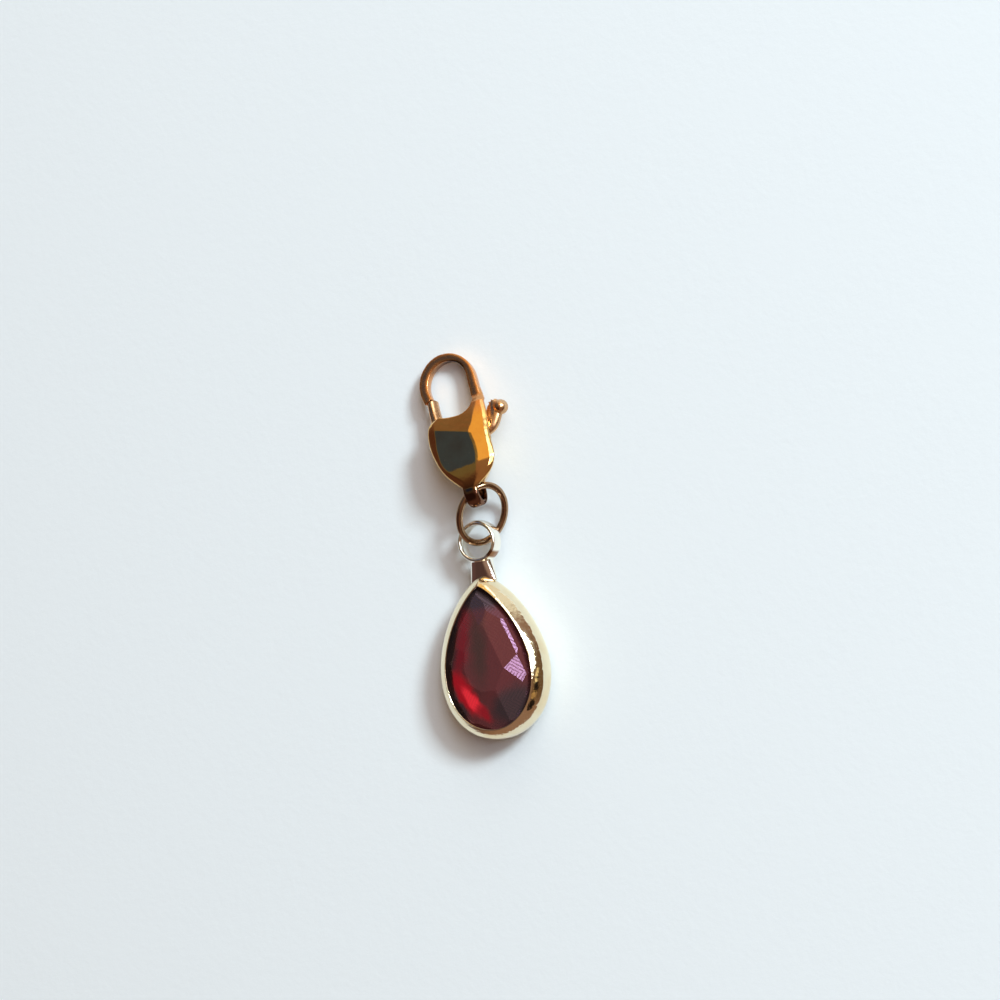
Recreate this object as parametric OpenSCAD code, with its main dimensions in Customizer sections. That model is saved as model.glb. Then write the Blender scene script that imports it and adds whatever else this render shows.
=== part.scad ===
// Glass drop charm: a faceted red glass teardrop in a gold frame, hung by a ring from a lobster clasp.
// Millimetres, +Z up. The charm lies on its back, with +Y running from the drop to the clasp's hook.
// The origin is on the surface that it lies on, under the middle of its outline.

/* [Glass drop] */
// Width of the glass that shows inside the frame
glass_w = 7.1; // [6.6:0.1:7.6]
// Length of the glass that shows inside the frame
glass_l = 10.8; // [10.5:0.1:11.1]
// Thickness over the front and back tables
glass_t = 3.6; // [3.4:0.1:3.9]
// Corners of each table
table_corners = 12; // [8:2:16]

/* [Frame] */
// Height of the frame from its front rim to its back rim
frame_h = 2.7; // [2.65:0.05:2.8]
// How far the frame's side bulges past the edge of the glass
frame_bulge = 0.8; // [0.7:0.05:0.9]
// Width of the burnished rim
rim_w = 0.2; // [0.15:0.05:0.25]

/* [Hanging loop] */
// Outer diameter of the loop
loop_d = 3.16; // [3.12:0.02:3.2]
// Thickness of the loop's flat band
loop_t = 0.37; // [0.33:0.01:0.38]
// Width of the loop's flat band
loop_w = 1.3; // [1.1:0.1:1.4]

/* [Jump ring] */
// Length of the ring over its wire
ring_l = 4.98; // [4.96:0.01:5]
// Width of the ring over its wire
ring_w = 4.08; // [4.06:0.01:4.1]
// Wire diameter
ring_wire = 0.52; // [0.45:0.01:0.54]

/* [Clasp] */
// Thickness of the clasp's body at its face panel
clasp_t = 3; // [2.8:0.1:3.2]
// Thickness of the hook
hook_t = 1.25; // [1.15:0.05:1.4]
// Thickness of the lever
lever_t = 1.15; // [1:0.05:1.2]
// Diameter of the lever's pin
pin_d = 0.8; // [0.7:0.05:0.9]
// Diameter of the ball on the thumb tab
knob_d = 1.15; // [1:0.05:1.3]

/* [Hidden] */

gold = "#d9a441";
pale_gold = "#e6cf9c";
garnet = "#8e1420";

// Where the drop's middle lies
drop_y = -8.68;
drop_z = glass_t / 2;

// The pear outline: how much it tapers to its tip, and the half sizes that give its width and length
pear_taper = 0.58;
widest = acos(-pear_taper / (pear_taper + 2));
pear_x = glass_w / 2 / (sin(widest) * pow(sin(widest / 2), pear_taper));
pear_y = glass_l / 2;
pear_steps = 72;

// The glass: its straight edge inside the frame, and each table's size as a share of the outline
glass_under_rim = 0.25;
glass_edge_h = 2;
table_share = 0.8;

// The frame's groove and lips, which hold the glass with a small gap
groove = 0.3;
lip_under = 0.09;
groove_h = glass_edge_h + 0.06;
bulge_steps = 8;
// The side bulges less at the tip and at the foot: its share there
end_bulge = 0.7;

// The neck between the frame and the loop
neck_top_w = 1;
neck_foot_w = 1.85;
neck_foot_h = 0.6;
neck_foot_y = pear_y + 0.32;
loop_y = pear_y + 3.34;

// Where the ring lies, seen from the drop's middle, and how it stands on its right side
ring_at = [0.625, 10.742, 0.228];
ring_lean = 49.3;
ring_heading = -28.6;
ring_spin = 3.4;

// Where the clasp lies, seen from the drop's middle: the hook's end is down and the tail is up
clasp_at = [-0.102, 17.422, 0.025];
clasp_turn = 10.1;
clasp_pitch = 12;
clasp_roll = 1.9;

// The lever's pivot in the clasp's own frame, the clearances round it, and the arc on which gate and hook meet
pivot = [-0.7, -0.9];
pin_gap = 0.05;
body_pin_gap = 0.02;
pin_end_gap = 0.01;
pin_cover = 0.25;
pin_l = clasp_t - 2 * pin_cover;
hub_d = 1.5;
slot_gap = 0.075;
slot_t = lever_t + 2 * slot_gap;
tip_arc = 3.97;
gate_arc = 3.88;

// The tail loop, whose hole runs from side to side and is a little flat
tail_at = [-0.1, -5.2];
tail_d = 2.4;
tail_hole = 1.48;
tail_w = 1.16;
tail_flare = 0.2;
tail_flat = 0.84;

// The clasp's body, a row for each cross-section:
// y, left edge, right edge, panel's left edge, panel's right edge, share of the full thickness
body_rows = [
    [2.4, 1.3, 2.1, 1.55, 1.8, 0.4],
    [1.85, 1.15, 2.13, 1.35, 1.7, 0.58],
    [1.4, 0.3, 2.15, 0.9, 1.6, 0.72],
    [1, -1.37, 2.16, -0.95, 1.2, 0.79],
    [0.8, -1.97, 2.17, -1.4, 0.6, 0.83],
    [0.5, -2.34, 2.17, -1.62, 0.1, 0.87],
    [0.05, -2.52, 2.17, -1.7, -1.3, 0.96],
    [-0.4, -2.58, 2.17, -1.75, -0.6, 1],
    [-1, -2.58, 2.15, -1.82, 0.45, 1],
    [-1.5, -2.5, 2.12, -1.88, 1, 1],
    [-2.1, -2.36, 1.96, -1.78, 1.06, 1],
    [-2.8, -2.13, 1.78, -1.52, 0.96, 0.98],
    [-3.4, -1.84, 1.52, -1.12, 0.8, 0.93],
    [-3.9, -1.4, 1.16, -0.5, 0.62, 0.84],
    [-4.3, -0.98, 0.84, 0, 0.45, 0.74],
    [-4.7, -0.72, 0.6, 0, 0.3, 0.67],
    [-5.2, -0.64, 0.44, -0.3, 0.1, 0.64]
];
// Where the body's flank and shoulder lie: inwards from the edge on a body this wide, and share of its half height
body_full_w = 4.6;
flank = [0.12, 0.5];
shoulder = [0.52, 0.87];

// The hook's arch: its centre, and by angle the distance to the bar's middle and the bar's width
arch = [-0.27, 3.65];
arch_reach = [[0, 1.86], [20, 1.86], [50, 1.94], [80, 2.07], [112, 2.19], [145, 2.19], [180, 2.13]];
arch_bar = [[0, 0.7], [20, 0.62], [50, 0.58], [80, 0.64], [112, 0.76], [145, 0.78], [180, 0.74]];
// The straight stretches at the tip and down to the body: x, y, bar's width
hook_tip = [[-2.12, 2.4, 0.74], [-2.29, 3.05, 0.74]];
hook_foot = [[1.63, 2.9, 0.74], [1.68, 2.1, 0.76], [1.72, 1.2, 0.74], [1.74, 0.4, 0.7]];

// The gate arm from the hub to its end: x, y, width
gate_rows = [[-1.1, -0.6, 1.3], [-1.75, 0.1, 1.05], [-2.08, 0.8, 0.84], [-2.16, 1.6, 0.78], [-2.14, 2.3, 0.76], [-2.12, 3, 0.72]];
// The arm and thumb tab, as seen from the front
tab_outline = [
    [-0.7, -0.2], [1.2, -0.45], [2.4, -0.45], [2.42, 0.3], [2.46, 0.94], [2.66, 1.1], [2.97, 1.16],
    [3.28, 1.02], [3.5, 0.36], [3.2, -0.02], [2.78, -0.36], [2.5, -0.68], [2.28, -1.08], [1.2, -1.45], [-0.7, -1.6]
];
knob_at = [3.28, 0.54];
notch_d = 0.2;
notches = [[2.44, 0.99], [2.67, 1.17], [2.93, 1.24]];

// The mouth of the body, and the hollow that the lever swings in
mouth = [
    [-1.5, 1.12], [-1.06, 0.8], [-0.33, 0.64], [0.53, 0.61], [1.01, 0.85], [1.42, 1.24], [1.42, 2.2], [-1.5, 2.2]
];
hollow = [
    [-3.4, 2.2], [-3.4, -0.4], [-2.3, -0.75], [-1.6, -1.7], [-0.7, -1.95], [0.3, -2.3], [1, -2.6], [2, -2.8],
    [3, -2.8], [3, 1.6], [1.75, 1.6], [1.5, -0.2], [0.2, 0], [-0.1, 0.7], [-0.1, 2.2]
];

// The opening's outline at angle t, from its tip round by the right, moved outwards by grow
function pear_edge(t) = [pear_x * sin(t) * pow(abs(sin(t / 2)), pear_taper), pear_y * cos(t)];
function pear_out(t) = let (d = pear_edge(t + 0.5) - pear_edge(t - 0.5)) [-d.y, d.x] / norm(d);
function pear(t, grow = 0) = pear_edge(t) + grow * pear_out(t);

// A rounded-square ring of points, w wide and h high
function soft_power(v) = sign(v) * sqrt(abs(v));
function soft_square(w, h, steps = 16) = [
    for (k = [0:steps - 1])
        let (t = 360 * (k + 0.5) / steps)
        [w / 2 * soft_power(cos(t)), h / 2 * soft_power(sin(t))]
];

// A closed skin over rings of points, with a flat cap at each end unless the last ring joins the first
module skin(rings, endless = false) {
    n = len(rings[0]);
    m = len(rings);
    last = endless ? m - 1 : m - 2;
    sides = [
        for (i = [0:last], j = [0:n - 1])
            let (near = i * n, far = (i + 1) % m * n, k = (j + 1) % n)
            each [[near + j, near + k, far + k], [near + j, far + k, far + j]]
    ];
    caps = endless ? [] : [[for (j = [n - 1:-1:0]) j], [for (j = [0:n - 1]) (m - 1) * n + j]];
    polyhedron(points = [for (ring = rings) each ring], faces = concat(sides, caps));
}

// A bar in the clasp's plane along rows of x, y and width, with a rounded-square section
module bar(rows, thickness) {
    last = len(rows) - 1;
    skin([
        for (i = [0:last])
            let (
                here = rows[i],
                ahead = rows[min(i + 1, last)] - rows[max(i - 1, 0)],
                side = [ahead.y, -ahead.x] / norm([ahead.x, ahead.y])
            )
            [for (p = soft_square(here.z, thickness)) [here.x + side.x * p.x, here.y + side.y * p.x, p.y]]
    ]);
}

// Places a piece in the drop's own frame, whose middle is half way through the glass
module in_drop() {
    translate([0, drop_y, drop_z]) children();
}

// Places a piece in the clasp's own frame, whose front faces up
module in_clasp() {
    in_drop() translate(clasp_at)
        rotate([0, 0, clasp_turn]) rotate([-clasp_pitch, 0, 0]) rotate([0, clasp_roll, 0]) children();
}

// The frame's section, as offset from the glass's edge and height
function frame_section(bulge) = concat(
    [for (k = [0:bulge_steps])
        let (t = 90 - 180 * k / bulge_steps)
        [rim_w + (bulge - rim_w) * cos(t), frame_h / 2 * sin(t)]],
    [[0, -frame_h / 2], [0, lip_under - frame_h / 2], [groove, -groove_h / 2]],
    [[groove, groove_h / 2], [0, frame_h / 2 - lip_under], [0, frame_h / 2]]
);

module frame_band() {
    skin([
        for (k = [0:pear_steps - 1])
            let (
                t = 360 * k / pear_steps,
                bulge = frame_bulge * (end_bulge + (1 - end_bulge) * abs(sin(t)))
            )
            [for (p = frame_section(bulge)) let (at = pear(t, p.x)) [at.x, at.y, p.y]]
    ], endless = true);
}

// The neck tapers from the band's edge at the loop to a wide foot on the frame
module neck() {
    hull() {
        translate([-neck_top_w / 2, loop_y - loop_d / 2, -loop_w / 2]) cube([neck_top_w, loop_t, loop_w]);
        translate([-neck_foot_w / 2, neck_foot_y, -neck_foot_h / 2]) cube([neck_foot_w, loop_t, neck_foot_h]);
    }
}

module hanging_loop() {
    difference() {
        cylinder(h = loop_w, d = loop_d, center = true, $fn = 64);
        cylinder(h = loop_w + 1, d = loop_d - 2 * loop_t, center = true, $fn = 64);
    }
}

module bezel() {
    color(pale_gold) in_drop() {
        frame_band();
        difference() {
            neck();
            translate([0, loop_y, 0]) cylinder(h = loop_w + 1, d = loop_d - loop_t, center = true, $fn = 64);
        }
        translate([0, loop_y, 0]) hanging_loop();
    }
}

// Each side of the glass slopes from its straight edge up to a flat table
module glass_drop() {
    edge = [for (k = [0:2 * table_corners - 1]) pear(180 * k / table_corners, glass_under_rim)];
    table = [for (k = [0:table_corners - 1]) table_share * pear(360 * k / table_corners)];
    points = concat(
        [for (p = edge, side = [-1, 1]) [p.x, p.y, side * glass_edge_h / 2]],
        [for (p = table, side = [-1, 1]) [p.x, p.y, side * glass_t / 2]]
    );
    color(garnet) in_drop() hull() polyhedron(points = points, faces = [[for (k = [0:len(points) - 1]) k]]);
}

module jump_ring() {
    color(gold) in_drop() translate(ring_at)
        rotate([0, 0, ring_heading]) rotate([0, ring_lean, 0]) rotate([0, 0, ring_spin])
        oval_ring(ring_l, ring_w, ring_wire);
}

// A closed ring of round wire, long along Y
module oval_ring(length, width, wire, stations = 48, sides = 12) {
    skin([
        for (k = [0:stations - 1])
            let (
                t = 360 * k / stations,
                a = (width - wire) / 2,
                b = (length - wire) / 2,
                out = [b * cos(t), a * sin(t)] / norm([b * cos(t), a * sin(t)])
            )
            [for (j = [0:sides - 1])
                let (r = wire / 2 * cos(360 * j / sides))
                [a * cos(t) + out.x * r, b * sin(t) + out.y * r, wire / 2 * sin(360 * j / sides)]]
    ], endless = true);
}

// The hook runs from its tip over the arch and down into the body
module hook() {
    over = [
        for (t = [180:-15:0])
            [arch.x + lookup(t, arch_reach) * cos(t), arch.y + lookup(t, arch_reach) * sin(t), lookup(t, arch_bar)]
    ];
    difference() {
        bar(concat(hook_tip, over, hook_foot), hook_t);
        translate(pivot) intersection() {
            cylinder(h = clasp_t + 1, r = tip_arc, center = true, $fn = 96);
            translate([-tip_arc, 0, -clasp_t]) cube([tip_arc, tip_arc, 2 * clasp_t]);
        }
    }
}

// One cross-section of the body: flat between the panel's edges, then shoulder, flank and edge
function body_ring(row) =
    let (
        half = clasp_t / 2 * row[5],
        k = (row[2] - row[1]) / body_full_w,
        front = [
            [row[2] - flank[0] * k, half * flank[1]],
            [row[2] - shoulder[0] * k, half * shoulder[1]],
            [row[4], half],
            [row[3], half],
            [row[1] + shoulder[0] * k, half * shoulder[1]],
            [row[1] + flank[0] * k, half * flank[1]]
        ]
    )
    [for (p = concat([[row[2], 0]], front, [[row[1], 0]], [for (i = [5:-1:0]) [front[i].x, -front[i].y]]))
        [p.x, row[0], p.y]];

module tail_loop() {
    translate(tail_at) scale([1, 1, tail_flat]) rotate([0, 90, 0]) rotate_extrude($fn = 64)
        polygon([
            [tail_hole / 2, -tail_w / 2 + tail_flare], [tail_hole / 2 + tail_flare, -tail_w / 2],
            [tail_d / 2 - tail_flare, -tail_w / 2], [tail_d / 2, -tail_w / 2 + tail_flare],
            [tail_d / 2, tail_w / 2 - tail_flare], [tail_d / 2 - tail_flare, tail_w / 2],
            [tail_hole / 2 + tail_flare, tail_w / 2], [tail_hole / 2, tail_w / 2 - tail_flare]
        ]);
}

// The tail's hole, which opens out where it leaves the loop
module tail_bore() {
    translate(tail_at) scale([1, 1, tail_flat]) rotate([0, 90, 0]) {
        cylinder(h = clasp_t, d = tail_hole, center = true, $fn = 64);
        for (side = [-1, 1])
            scale([1, 1, side]) translate([0, 0, tail_w / 2 - tail_flare])
                cylinder(h = 2 * tail_flare, d1 = tail_hole, d2 = tail_hole + 4 * tail_flare, $fn = 64);
    }
}

module clasp_body() {
    color(gold) in_clasp() difference() {
        union() {
            hook();
            difference() {
                skin([for (i = [len(body_rows) - 1:-1:0]) body_ring(body_rows[i])]);
                translate([0, 0, -clasp_t]) linear_extrude(2 * clasp_t) polygon(mouth);
                tail_bore();
            }
            tail_loop();
        }
        translate([0, 0, -slot_t / 2]) linear_extrude(slot_t) polygon(hollow);
        translate(pivot) cylinder(h = pin_l + 2 * pin_end_gap, d = pin_d + 2 * body_pin_gap, center = true, $fn = 48);
    }
}

module clasp_lever() {
    color(gold) in_clasp() difference() {
        union() {
            intersection() {
                bar(gate_rows, lever_t);
                translate(pivot) cylinder(h = clasp_t, r = gate_arc, center = true, $fn = 96);
            }
            translate(pivot) cylinder(h = lever_t, d = hub_d, center = true, $fn = 64);
            translate([0, 0, -lever_t / 2]) linear_extrude(lever_t) polygon(tab_outline);
            translate(knob_at) sphere(d = knob_d, $fn = 48);
        }
        translate(pivot) cylinder(h = clasp_t, d = pin_d + 2 * pin_gap, center = true, $fn = 48);
        for (at = notches)
            translate(at) cylinder(h = clasp_t, d = notch_d, center = true, $fn = 24);
    }
}

module lever_pin() {
    color(gold) in_clasp() translate(pivot) cylinder(h = pin_l, d = pin_d, center = true, $fn = 48);
}

bezel();
glass_drop();
jump_ring();
clasp_body();
clasp_lever();
lever_pin();
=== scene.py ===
import math

import bmesh
import bpy
import numpy as np
from mathutils import Matrix, Vector


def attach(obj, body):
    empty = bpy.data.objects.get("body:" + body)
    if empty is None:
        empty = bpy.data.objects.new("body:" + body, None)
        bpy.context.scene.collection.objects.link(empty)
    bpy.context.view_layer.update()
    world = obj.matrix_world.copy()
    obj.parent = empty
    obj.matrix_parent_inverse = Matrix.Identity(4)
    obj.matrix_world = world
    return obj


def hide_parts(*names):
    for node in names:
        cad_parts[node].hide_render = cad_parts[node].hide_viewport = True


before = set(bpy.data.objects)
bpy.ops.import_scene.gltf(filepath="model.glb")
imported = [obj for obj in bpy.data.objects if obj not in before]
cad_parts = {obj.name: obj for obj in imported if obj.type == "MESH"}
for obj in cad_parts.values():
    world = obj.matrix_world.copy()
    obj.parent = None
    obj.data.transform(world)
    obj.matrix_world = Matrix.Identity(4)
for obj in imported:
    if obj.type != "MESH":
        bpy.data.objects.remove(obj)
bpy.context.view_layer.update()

bl_info = {
    "name": "Glass drop charm",
    "version": (1, 0, 0),
    "blender": (4, 5, 0),
    "location": "View3D > Sidebar > Charm",
    "description": "Builds a red glass teardrop in a gold frame, its jump ring and its lobster clasp",
    "category": "Object",
}

MM = 0.001
PER_MM = (1000, 1000, 1000)


# Sizes, in millimetres and degrees. Each piece has its own frame, placed by in_drop, in_ring or in_clasp.

DROP_AT = (0.0, -8.68, 1.8)

# The glass's outline is a pear: X = PEAR_X sin(t) sin(t / 2) ** PEAR_TAPER, Y = PEAR_Y cos(t)
GLASS_W, GLASS_L, GLASS_T = 7.1, 10.8, 3.6
GLASS_UNDER_RIM = 0.25
PEAR_TAPER = 0.58
PEAR_Y = GLASS_L / 2
WIDEST = math.acos(-PEAR_TAPER / (PEAR_TAPER + 2))
PEAR_X = GLASS_W / 2 / (math.sin(WIDEST) * math.sin(WIDEST / 2) ** PEAR_TAPER)

# The crown's two rows of 12 facets: tilts, the heights of the edge on the front (less at the right) and on the
# back, and how far out the flatter facets meet the tables, as a share of the outline
CROWN_SIDES = 12
EDGE_TILT, TABLE_TILT = 39, 15
EDGE_HEIGHT, RIGHT_EDGE_HEIGHT, BACK_EDGE_HEIGHT = 0.9, 0.62, 0.95
TABLE_SHARE, BACK_TABLE_GROWTH = 0.46, 1.7
# At the front's right, between these angles, the facets below stand in for the crown's
RIGHT_SIDE = (50, 130)
# Azimuth, tilt and a point on each of the right side's facets, which are the ones that catch the light
KITE_LEFT, KITE_TOP = (1.56, -0.95, 1.78), (2.61, 0.05, 1.245)
SIDE_FACETS = (
    ("kite", 0, 27, KITE_LEFT),
    ("above the kite", 20.5, 21.9, KITE_LEFT),
    ("below the kite", -30, 20.1, KITE_LEFT),
    ("steep one above", 20.5, 42, KITE_TOP),
    ("steep one beside", 8, 43, (2.75, -0.8, 1.17)),
    ("steep one below", -14, 42, (2.8, -1.9, 1.14)),
    ("thin strip above the kite", 20.5, 31, (2.61, 0.05, 1.219)),
)

# The frame's section: the burnished lip from the groove up, as offset and height over the rim, then the shoulder's
# flatter part and steeper part, by the tilts they start and end at, then the wall, which turns down to the equator
FRAME_H = 2.7
GROOVE, GROOVE_H = 0.3, 2.06
LIP = ((-0.06, -0.09), (-0.07, -0.04), (-0.055, 0), (-0.03, 0.015), (-0.005, 0.01))
FLAT_FROM, FLAT_TO, FLAT_STEPS = 36, 40, 7
GENTLER = 9
STEEP_FROM, STEEP_TO, STEEP_STEPS = 41, 57, 14
WALL_FROM, WALL_BULGE = 58, 0.62
# Angle round the drop from its tip by the right, width of the shoulder's flatter part, width of its steeper part
SHOULDER = (
    (0, 0.28, 0.28), (20, 0.26, 0.3), (35, 0.13, 0.5), (60, 0.1, 0.58), (80, 0.2, 0.5), (93, 0.38, 0.34),
    (103, 0.32, 0.36), (113, 0.1, 0.58), (135, 0.06, 0.56), (155, 0.1, 0.45), (172, 0.24, 0.3), (190, 0.28, 0.3),
    (225, 0.28, 0.38), (270, 0.28, 0.42), (315, 0.28, 0.38), (360, 0.28, 0.28),
)
SHOULDER_SMOOTHING = 24

LOOP_D, LOOP_T, LOOP_W, LOOP_CROWN = 3.16, 0.37, 1.3, 0.1
LOOP_Y = PEAR_Y + 3.34
NECK_TOP_W, NECK_FOOT_W, NECK_FOOT_H = 1.75, 2.15, 0.6
NECK_TOP_Y = LOOP_Y - LOOP_D / 2 + LOOP_T
NECK_FOOT_Y = PEAR_Y + 0.32
LOOP_SKIN, LOOP_SOFTENING = 0.032, 5

RING_L, RING_W, RING_WIRE, WIRE_SIDES = 4.98, 4.08, 0.52, 28
RING_AT, RING_LEAN, RING_HEADING, RING_SPIN = (0.625, 10.742, 0.228), 49.3, -28.6, 3.4

CLASP_AT, CLASP_TURN, CLASP_PITCH, CLASP_ROLL = (-0.102, 17.422, 0.025), 10.1, 12.0, 1.9
CLASP_T = 3.0
PIVOT = (-0.7, -0.9)

# Along Y: y, left edge, right edge, face's left edge, face's right edge, share of the full thickness, and how far
# the side hangs over the right edge
BODY_ROWS = (
    (2.6, 1.32, 2.02, 1.5, 1.8, 0.3, 0.02),
    (2.2, 1.26, 2.08, 1.44, 1.82, 0.32, 0.08),
    (1.8, 1.1, 2.14, 1.32, 1.84, 0.42, 0.13),
    (1.4, 0.3, 2.17, 0.7, 1.8, 0.6, 0.17),
    (1, -1.37, 2.18, -1.0, 1.7, 0.8, 0.2),
    (0.8, -1.97, 2.19, -1.5, 1.62, 0.88, 0.21),
    (0.5, -2.34, 2.2, -1.66, 1.5, 0.96, 0.22),
    (0.05, -2.52, 2.2, -1.74, 1.36, 1, 0.23),
    (-0.4, -2.58, 2.2, -1.78, 1.22, 1, 0.23),
    (-1, -2.58, 2.18, -1.82, 0.92, 1, 0.23),
    (-1.5, -2.5, 2.14, -1.86, 0.96, 1, 0.26),
    (-2.1, -2.36, 2.1, -1.82, 1.08, 1, 0.33),
    (-2.8, -2.13, 2.04, -1.72, 1.12, 1, 0.45),
    (-3.4, -1.88, 1.88, -1.46, 1.07, 0.995, 0.56),
    (-3.9, -1.6, 1.56, -1.08, 0.98, 0.94, 0.68),
    (-4.3, -1.3, 1.15, -0.7, 0.84, 0.88, 0.78),
    (-4.7, -0.98, 0.72, -0.4, 0.6, 0.8, 0.66),
    (-5.0, -0.72, 0.56, -0.34, 0.36, 0.72, 0.3),
    (-5.3, -0.62, 0.44, -0.34, 0.2, 0.64, 0.06),
)
# The front face falls away towards the mouth beyond this line, at this slope
BEVEL_FROM, BEVEL_TOWARDS, BEVEL_SLOPE = (-1.6, -0.15), (0.355, 0.935), 0.213
# The polished flats at the face's right: greatest width, greatest share of the side, and slope
BORDER_W, BORDER_SHARE, BORDER_SLOPE = 0.24, 0.3, 0.17
BRIGHT_W, BRIGHT_SHARE, BRIGHT_SLOPE = 0.3, 0.45, 0.56
FLANK_SLOPE = 0.28
# The flat at the face's left stops this far from the edge, and how fast the back draws in under the right side
LEFT_SLOPE, LEFT_EDGE = 0.42, 0.12
TURNED_UNDER = 0.7

MOUTH = (
    (-1.5, 1.12), (-1.06, 0.8), (-0.33, 0.64), (0.53, 0.61), (1.01, 0.85), (1.42, 1.24), (1.42, 2.93), (-1.5, 2.93),
)
# The slot for the lever, which is narrower where the thumb tab comes out of the right side
SLOT_LEFT = (
    (-3.4, 2.2), (-3.4, -0.4), (-2.3, -0.75), (-1.6, -1.7), (-0.7, -1.95), (0.3, -2.3), (1, -2.6),
)
SLOT_MIDDLE = ((1.2, -2.65), (1.2, -0.15))
SLOT_RIGHT = ((2, -2.8), (3, -2.8), (3, 1.6), (1.75, 1.6), (1.5, -0.2))
SLOT_TOP = ((0.2, 0), (-0.1, 0.7), (-0.1, 2.2))
SLOT_T, TAB_SLOT_T = 1.3, 0.84

# The hook: its arch's centre, reach and width by angle, and x, y and width at its tip and its foot. It is drawn
# thinner than in the solids, with a crowned face and a round back.
ARCH = (-0.27, 3.65)
ARCH_REACH = ((0, 1.86), (20, 1.86), (50, 1.94), (80, 2.07), (112, 2.19), (145, 2.19), (180, 2.13))
ARCH_BAR = ((0, 0.7), (20, 0.62), (50, 0.58), (80, 0.64), (112, 0.76), (145, 0.78), (180, 0.74))
HOOK_TIP = ((-2.12, 2.4, 0.74), (-2.29, 3.05, 0.74))
HOOK_FOOT = ((1.63, 2.9, 0.74), (1.68, 2.1, 0.76), (1.72, 1.2, 0.74), (1.74, 0.4, 0.7))
HOOK_T, HOOK_FACE, HOOK_CROWN, HOOK_BACK, HOOK_EDGE = 1.0, 0.96, 0.06, 0.93, 0.14
TIP_ARC = 3.97

TAIL_AT, TAIL_D, TAIL_HOLE, TAIL_W, TAIL_FLAT = (-0.1, -5.2), 2.4, 1.48, 1.16, 0.84
# The tail's hole opens out near its mouths, and its cutter runs on this far at a slope of one to one
TAIL_FLARE, FLARE_RUN = 0.2, 0.4
# Radius left at the cutter's axis, too thin for the skin to keep
AXIS_R = 0.001

# x, y and width along the lever's gate arm and along its thumb tab
GATE_ROWS = (
    (-1.1, -0.6, 1.3), (-1.68, 0.1, 1.12), (-1.98, 0.8, 0.95), (-2.07, 1.6, 0.84), (-2.1, 2.3, 0.78),
    (-2.1, 3, 0.74),
)
TAB = (
    (-0.5, -0.9, 1.3), (0.6, -0.92, 1.15), (1.5, -0.8, 1.2), (2.1, -0.5, 1.4), (2.45, -0.1, 1.4), (2.7, 0.35, 1.3),
    (2.82, 0.8, 1.12), (2.84, 1.1, 0.85), (2.84, 1.24, 0.5),
)
LEVER_T, TAB_T, HUB_D, PIN_HOLE_R, GATE_ARC = 1.15, 0.8, 1.5, 0.45, 3.88
KNOB_AT, KNOB_D = (3.28, 0.54), 1.15
NOTCH_D, NOTCHES = 0.2, ((2.44, 0.99), (2.67, 1.17), (2.93, 1.24))
LEVER_SKIN = 0.035


# Shapes, in millimetres

def in_drop():
    """Where the drop's own frame lies."""
    return Matrix.Translation(DROP_AT)


def rotation(degrees, axis):
    """A turn about X, Y or Z."""
    return Matrix.Rotation(math.radians(degrees), 4, axis)


def in_clasp():
    """Where the clasp's own frame lies: turned, tail up, and rolled a little."""
    at = in_drop() @ Matrix.Translation(CLASP_AT)
    return at @ rotation(CLASP_TURN, "Z") @ rotation(-CLASP_PITCH, "X") @ rotation(CLASP_ROLL, "Y")


def in_ring():
    """Where the jump ring's own frame lies, standing on its right side."""
    at = in_drop() @ Matrix.Translation(RING_AT)
    return at @ rotation(RING_HEADING, "Z") @ rotation(RING_LEAN, "Y") @ rotation(RING_SPIN, "Z")


def faired(rows, steps):
    """A smooth run through rows of numbers, with so many steps between each two."""
    rows = np.array(rows, float)
    last = len(rows) - 1
    out = []
    for i in range(last):
        a, b, c, d = (rows[min(max(k, 0), last)] for k in range(i - 1, i + 3))
        for s in np.arange(steps) / steps:
            bend, twist = (2 * a - 5 * b + 4 * c - d) * s**2, (3 * b - a - 3 * c + d) * s**3
            out.append(0.5 * (2 * b + (c - a) * s + bend + twist))
    out.append(rows[-1])
    return np.array(out)


def rounded(outline, times=2):
    """A closed outline with its corners cut, so that it runs smoothly."""
    pts = np.array(outline, float)
    for _ in range(times):
        ahead = np.roll(pts, -1, axis=0)
        pts = np.stack([0.8 * pts + 0.2 * ahead, 0.2 * pts + 0.8 * ahead], axis=1).reshape(-1, pts.shape[1])
    return pts


def skin(rings, endless=False):
    """Vertices and faces over rings of points, capped at both ends unless the last ring joins the first."""
    rings = [np.asarray(r, float) for r in rings]
    m, n = len(rings), len(rings[0])
    faces = []
    for i in range(m if endless else m - 1):
        a, b = i * n, (i + 1) % m * n
        faces += [(a + j, a + (j + 1) % n, b + (j + 1) % n, b + j) for j in range(n)]
    if not endless:
        faces += [tuple(range(n - 1, -1, -1)), tuple((m - 1) * n + j for j in range(n))]
    return np.vstack(rings), faces


def soft_square(w, h, power, steps):
    """A section between an ellipse (power 2) and a rectangle (large power)."""
    t = 2 * np.pi * (np.arange(steps) + 0.5) / steps
    c, s = np.cos(t), np.sin(t)
    return np.c_[w / 2 * np.sign(c) * abs(c) ** (2 / power), h / 2 * np.sign(s) * abs(s) ** (2 / power)]


def half_round(w, h, steps=20):
    """The hook's section, with a crowned face and a round back."""
    x = np.linspace(-HOOK_FACE, HOOK_FACE, steps)
    face = np.c_[w / 2 * x, h / 2 + HOOK_CROWN * (1 - x**2)]
    t = np.linspace(0.0, np.pi, steps)
    back = np.c_[HOOK_BACK * w / 2 * np.cos(t), h / 2 - HOOK_EDGE - (h - HOOK_EDGE) * np.sin(t)]
    return np.vstack([face, back])[::-1]


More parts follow.
